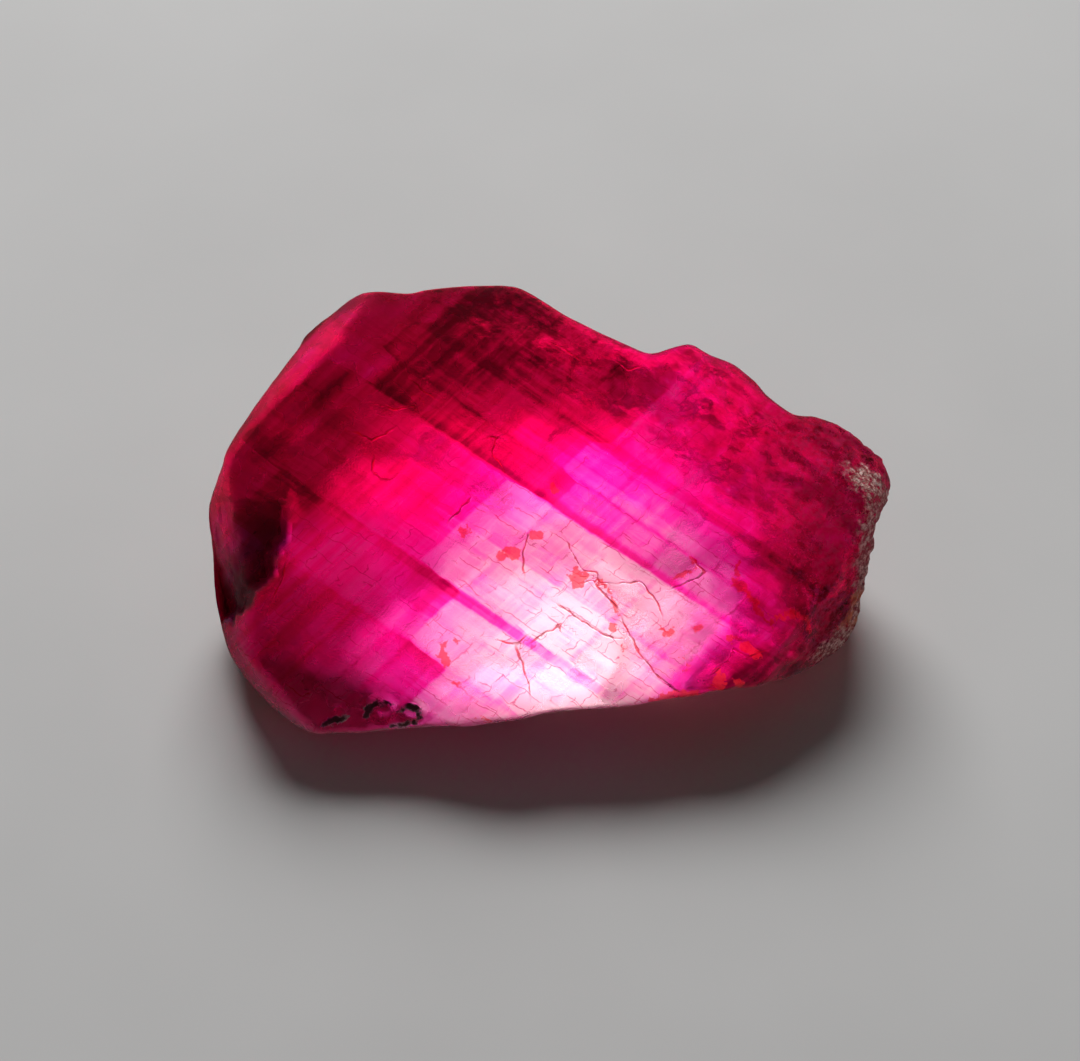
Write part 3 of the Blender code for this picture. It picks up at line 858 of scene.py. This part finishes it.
def block_pattern(n, at):
    """What the blocks between the partings add to the tone, and a mask of the joints of each size."""
    wander = n.times(n.add(at.waver, -0.5), 1.2)
    cross = n.add(at.cross_bent, wander)
    long = n.add(at.long_bent, n.times(wander, -0.6))
    ways = ((cross, long), (cross, long), (long, cross))
    shown = (n.span(at.patchy, 0.48, 0.6), n.span(at.patchy, 0.5, 0.4), n.span(at.waver, 0.5, 0.6))
    total = 0.0
    joints = []
    for (across, up), (width, height, shift), some in zip(ways, BLOCKS, shown):
        brick = n.new("ShaderNodeTexBrick")
        n.plug(n.combine(n.add(across, shift), up, 0.0), brick.inputs["Vector"])
        brick.inputs["Color1"].default_value = (0.0, 0.0, 0.0, 1.0)
        brick.inputs["Color2"].default_value = (1.0, 1.0, 1.0, 1.0)
        brick.inputs["Mortar"].default_value = (0.5, 0.5, 0.5, 1.0)
        brick.inputs["Scale"].default_value = 1.0
        brick.inputs["Mortar Size"].default_value = JOINT_WIDTH
        brick.inputs["Mortar Smooth"].default_value = 0.8
        brick.inputs["Brick Width"].default_value = width
        brick.inputs["Row Height"].default_value = height
        total = n.add(total, n.add(brick.outputs["Color"], -0.5))
        joints.append(n.times(brick.outputs["Fac"], some))
    return n.times(total, 0.05), joints


def smooth_tone(n, at):
    """The tone of the back and the underside, clouded, with painted glow of the light beneath: palest at its
    middle and darker away from it.
    """
    share_u = n.times(n.add(at.u, -PAINTED_GLOW_MIDDLE[0]), 1.0 / PAINTED_GLOW_REACH[0])
    share_v = n.times(n.add(at.v, -PAINTED_GLOW_MIDDLE[1]), 1.0 / PAINTED_GLOW_REACH[1])
    away = n.math("SQRT", n.add(n.times(share_u, share_u), n.times(share_v, share_v)))
    soft = n.profile(away, 0.0, 2.5, PAINTED_GLOW_TONE)
    return n.add(soft, n.times(at.mottle, n.span(at.w, -1.0, -4.0, 0.0, 0.15)))


def skin_tone(n, at):
    """The tone of every point of the skin. The marks are in the front skin, which is seen sharply."""
    tone = n.add(n.add(banded_tone(n, at), growth_lines(n, at)), mottling(n, at))
    # Darker at the left end: painted shade of the chipped hollow there
    left_end_shade = n.times(n.span(at.u, -16.5, -19.5), n.span(at.v, -8.5, -6.0))
    tone = n.times(tone, n.span(left_end_shade, 0.0, 1.0, 1.0, 0.75))
    added, joints = block_pattern(n, at)
    tone = n.add(tone, added)
    soft = smooth_tone(n, at)
    return n.add(soft, n.times(n.math("SUBTRACT", tone, soft), n.times(at.front, 1.8))), joints


def crack_mask(n, at):
    """From 0 to 1 on the cracks, whose width varies."""
    width = n.span(at.mottle, -0.1, 0.15, 0.02, 0.14, smooth=False)
    beside = n.math("ABSOLUTE", n.field("crack_side"))
    shape = n.math("SUBTRACT", 1.0, n.span(beside, n.times(width, 0.5), width))
    return n.times(shape, n.field("crack_shown"))


def rind_masks(n, at, grain):
    """Masks of the pale rind and of the frosting that leads up to it."""
    start = n.add(n.add(at.u, n.times(at.v, RIND_LEAN)), n.times(n.add(at.waver, -0.5), 4.0))
    frost = n.times(n.span(start, 13.0, 20.0), n.span(grain, 0.45, 0.62))
    band = n.add(n.field("rind_band"), n.times(at.mottle, 2.4))
    side = n.times(n.span(start, RIND_START + 1.0, RIND_START + 3.0), n.span(at.w, 2.0, -0.5))
    rind = n.math("MAXIMUM", n.span(band, -0.25, 0.25), side)
    return n.times(rind, n.span(grain, 0.38, 0.5, 0.35, 1.0)), frost


def rind_colour(n, at, grain):
    stained = n.span(n.math("ABSOLUTE", n.add(at.v, -STAIN_HEIGHT)), 1.8, 0.6)
    stain = n.times(stained, n.span(at.waver, 0.4, 0.55))
    return n.mix(n.times(stain, 0.8), n.ramp(grain, RIND_TONES), STAIN_TONE)


def skin_bump(n, at):
    """The normal that the finest grain, the knobbles and the cracks give the skin."""
    granular = n.span(n.field("rind_band"), -0.8, 0.2, 0.03, 0.35)
    beside = n.math("ABSOLUTE", n.field("crack_side"))
    groove = n.times(n.span(beside, 0.12, 0.02), n.times(n.field("crack_shown"), -0.06))
    skin = n.times(n.noise(at.face, 3.0, 2.0, 0.7), granular)
    skin = n.add(skin, n.times(n.times(at.mottled, n.noise(at.face, 1.3, 1.0, 0.6)), 0.12))
    bump = n.new("ShaderNodeBump")
    bump.inputs["Strength"].default_value = 0.6
    bump.inputs["Distance"].default_value = MM
    n.plug(n.add(skin, groove), bump.inputs["Height"])
    return bump.outputs["Normal"]


def ruby_material():
    n = Nodes("ruby")
    at = face_places(n)
    tone, joints = skin_tone(n, at)
    # The painted shade of the chipped hollow darkens the colour to near black
    hollow = n.field("hollow")
    colour = n.ramp(tone, RUBY_TONES)
    colour = n.mix(n.times(hollow, 0.94), colour, HOLLOW_SHADE_TONE)
    clear = n.times(n.span(tone, 0.4, 0.7, 0.5, 0.9), at.front)
    for joint in joints:
        colour = n.mix(n.times(joint, clear), colour, JOINT_TINT, blend="MULTIPLY")

    flake = n.span(n.add(n.field("flake"), at.ragged), -0.04, 0.06)
    flake_tone = n.mix(n.span(at.mottle, -0.15, 0.15), *FLAKE_TONES)
    colour = n.mix(n.times(flake, 0.92), colour, flake_tone)
    crack_tone = n.mix(n.span(at.waver, 0.4, 0.6), *CRACK_TONES)
    colour = n.mix(n.times(crack_mask(n, at), 0.95), colour, crack_tone)
    speck = n.span(at.ragged, 0.19, 0.23)
    colour = n.mix(n.times(speck, 0.7), colour, SPECK_TONE)
    pit_edge = n.span(n.add(n.field("pit_edge"), n.times(at.ragged, 0.9)), -0.1, 0.06)
    colour = n.mix(n.times(pit_edge, 0.97), colour, PIT_EDGE_TONE)

    grain = n.noise(at.face, 2.6, 4.0, 0.75)
    rind, frost = rind_masks(n, at, grain)
    colour = n.mix(n.times(frost, 0.3), colour, FROST_TONE)
    colour = n.mix(rind, colour, rind_colour(n, at, grain))
    n.plug(colour, n.shader.inputs["Base Color"])

    solid = n.math("MAXIMUM", n.times(rind, 0.8), n.times(frost, 0.25))
    solid = n.math("MAXIMUM", solid, pit_edge)
    # The hollow's painted shade also makes it less see-through
    solid = n.math("MAXIMUM", solid, n.times(n.times(hollow, hollow), 0.8))
    n.plug(n.math("SUBTRACT", 1.0, solid), n.shader.inputs["Transmission Weight"])

    worn = n.span(at.patchy, 0.3, 0.7, 0.2, 0.34, smooth=False)
    broken = n.times(n.span(at.w, 1.0, -3.0), 0.62)
    granular = n.times(n.math("MAXIMUM", rind, frost), 0.7)
    rough = n.math("MAXIMUM", n.math("MAXIMUM", worn, broken), granular)
    n.plug(rough, n.shader.inputs["Roughness"])
    n.plug(skin_bump(n, at), n.shader.inputs["Normal"])
    n.plug(RUBY_IOR, n.shader.inputs["IOR"])
    n.plug(RUBY_GLOSS, n.shader.inputs["Specular Tint"])

    volume = n.new("ShaderNodeVolumeAbsorption")
    volume.inputs["Color"].default_value = DEPTH_COLOUR
    volume.inputs["Density"].default_value = DEPTH_DENSITY
    n.tree.links.new(volume.outputs[0], n.output.inputs["Volume"])
    return n.material


def floor_material():
    n = Nodes("pale_floor")
    place = n.new("ShaderNodeTexCoord").outputs["Object"]
    cloud = n.noise(place, 40.0, 3.0)
    tone = n.ramp(cloud, ((0.3, (0.60, 0.595, 0.59)), (0.7, (0.63, 0.625, 0.62))))
    n.plug(tone, n.shader.inputs["Base Color"])
    n.plug(0.8, n.shader.inputs["Roughness"])
    return n.material


FLOOR_REACH = 0.6
FLOOR_GAP = 0.0002
LIGHT_BOUNCES = 6  # inside the stone, past which the light is nearly all absorbed
FLOOR_BOUNCES = 2


def make_floor():
    mesh = bpy.data.meshes.new("floor")
    corners = [(-1.0, -1.0), (1.0, -1.0), (1.0, 1.0), (-1.0, 1.0)]
    mesh.from_pydata([(x * FLOOR_REACH, y * FLOOR_REACH, 0.0) for x, y in corners], [], [(0, 1, 2, 3)])
    mesh.materials.append(floor_material())
    floor = bpy.data.objects.new("floor", mesh)
    floor.location.z = -FLOOR_GAP
    bpy.context.scene.collection.objects.link(floor)
    floor.visible_glossy = False


def aim(obj, towards):
    obj.rotation_mode = "QUATERNION"
    obj.rotation_quaternion = (Vector(towards) - obj.location).to_track_quat("-Z", "Y")


def add_light(name, place, towards, size, power):
    data = bpy.data.lights.new(name, "AREA")
    data.shape = "DISK"
    data.size = size
    data.energy = power
    light = bpy.data.objects.new(name, data)
    light.location = place
    bpy.context.scene.collection.objects.link(light)
    aim(light, towards)
    return light


# Ovals of light between the floor and the base facet: centre x and y, width, depth, strength and
# the power that gives the fade towards the edge
GLOWS = (
    (1.5, -3.5, 32.0, 13.0, 2.0, 0.5),
    (3.0, -7.4, 22.0, 5.0, 2.4, 0.4),
    (0.5, 3.6, 44.0, 27.0, 1.55, 0.3),
    (-4.0, 16.0, 36.0, 20.0, 1.4, 0.3),
)

GLOW_COLOUR = (1.0, 1.0, 0.8)
GLOW_STACK = 0.2  # the ovals lie this share of the floor's gap above each other
KEY_PLACE = (-0.05, 0.4, 0.45)
KEY_SIZE = 0.4
KEY_POWER = 3.6
SKY_STRENGTH = 0.06


def make_lights():
    for i, (x, y, width, depth, strength, power) in enumerate(GLOWS):
        height = FLOOR_GAP * GLOW_STACK * (i - len(GLOWS))
        above = (x * MM, y * MM + 1e-6, 1.0)
        area = math.pi * width * depth * MM**2 / 4.0
        glow = add_light(f"glow_{i}", (x * MM, y * MM, height), above, width * MM, strength * area * math.pi)
        glow.data.shape = "ELLIPSE"
        glow.data.size_y = depth * MM
        glow.data.color = GLOW_COLOUR
        glow.visible_camera = False
        fade_out(glow.data, power)
    key = add_light("key", KEY_PLACE, (0.0, 0.0, 0.0), KEY_SIZE, KEY_POWER)
    key.visible_glossy = False
    key.visible_transmission = False
    world = bpy.data.worlds.new("studio")
    bpy.context.scene.world = world
    world.use_nodes = True
    background = world.node_tree.nodes["Background"]
    background.inputs["Color"].default_value = (1.0, 1.0, 1.0, 1.0)
    background.inputs["Strength"].default_value = SKY_STRENGTH


def fade_out(light, power):
    """Makes an area light fade from its middle to its edge."""
    light.use_nodes = True
    tree = light.node_tree
    emission = tree.nodes["Emission"]
    place = tree.nodes.new("ShaderNodeNewGeometry").outputs["Parametric"]
    apart = tree.nodes.new("ShaderNodeVectorMath")
    apart.operation = "DISTANCE"
    tree.links.new(place, apart.inputs[0])
    apart.inputs[1].default_value = (0.5, 0.5, 0.0)
    fade = tree.nodes.new("ShaderNodeMapRange")
    fade.inputs["From Min"].default_value = 0.0
    fade.inputs["From Max"].default_value = 0.5
    fade.inputs["To Min"].default_value = 1.0
    fade.inputs["To Max"].default_value = 0.0
    tree.links.new(apart.outputs["Value"], fade.inputs["Value"])
    shaped = tree.nodes.new("ShaderNodeMath")
    shaped.operation = "POWER"
    tree.links.new(fade.outputs[0], shaped.inputs[0])
    shaped.inputs[1].default_value = power
    tree.links.new(shaped.outputs[0], emission.inputs["Strength"])


CAMERA_ELEVATION = 52.0
CAMERA_DISTANCE = 226.5
CAMERA_LENS = 107.6
LOOK_AT = (-0.67, -1.51)  # the place on the face frame, in millimetres, at the picture's middle


def make_camera():
    data = bpy.data.cameras.new("camera")
    data.lens = CAMERA_LENS
    data.sensor_width = 36.0
    data.clip_start = 0.005
    camera = bpy.data.objects.new("camera", data)
    target = Vector(face_to_row(np.array([[LOOK_AT[0], LOOK_AT[1], 0.0]]))[0])
    rise = math.radians(CAMERA_ELEVATION)
    camera.location = target + CAMERA_DISTANCE * MM * Vector((0.0, -math.cos(rise), math.sin(rise)))
    bpy.context.scene.collection.objects.link(camera)
    aim(camera, target)
    bpy.context.scene.camera = camera


make_camera()
stone = make_stone()
stone.data.materials.append(ruby_material())
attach(stone, "root")
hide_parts("ruby_crystal")
make_floor()
make_lights()
bpy.context.scene.view_settings.view_transform = "Standard"
bpy.context.scene.cycles.max_bounces = LIGHT_BOUNCES
bpy.context.scene.cycles.diffuse_bounces = FLOOR_BOUNCES
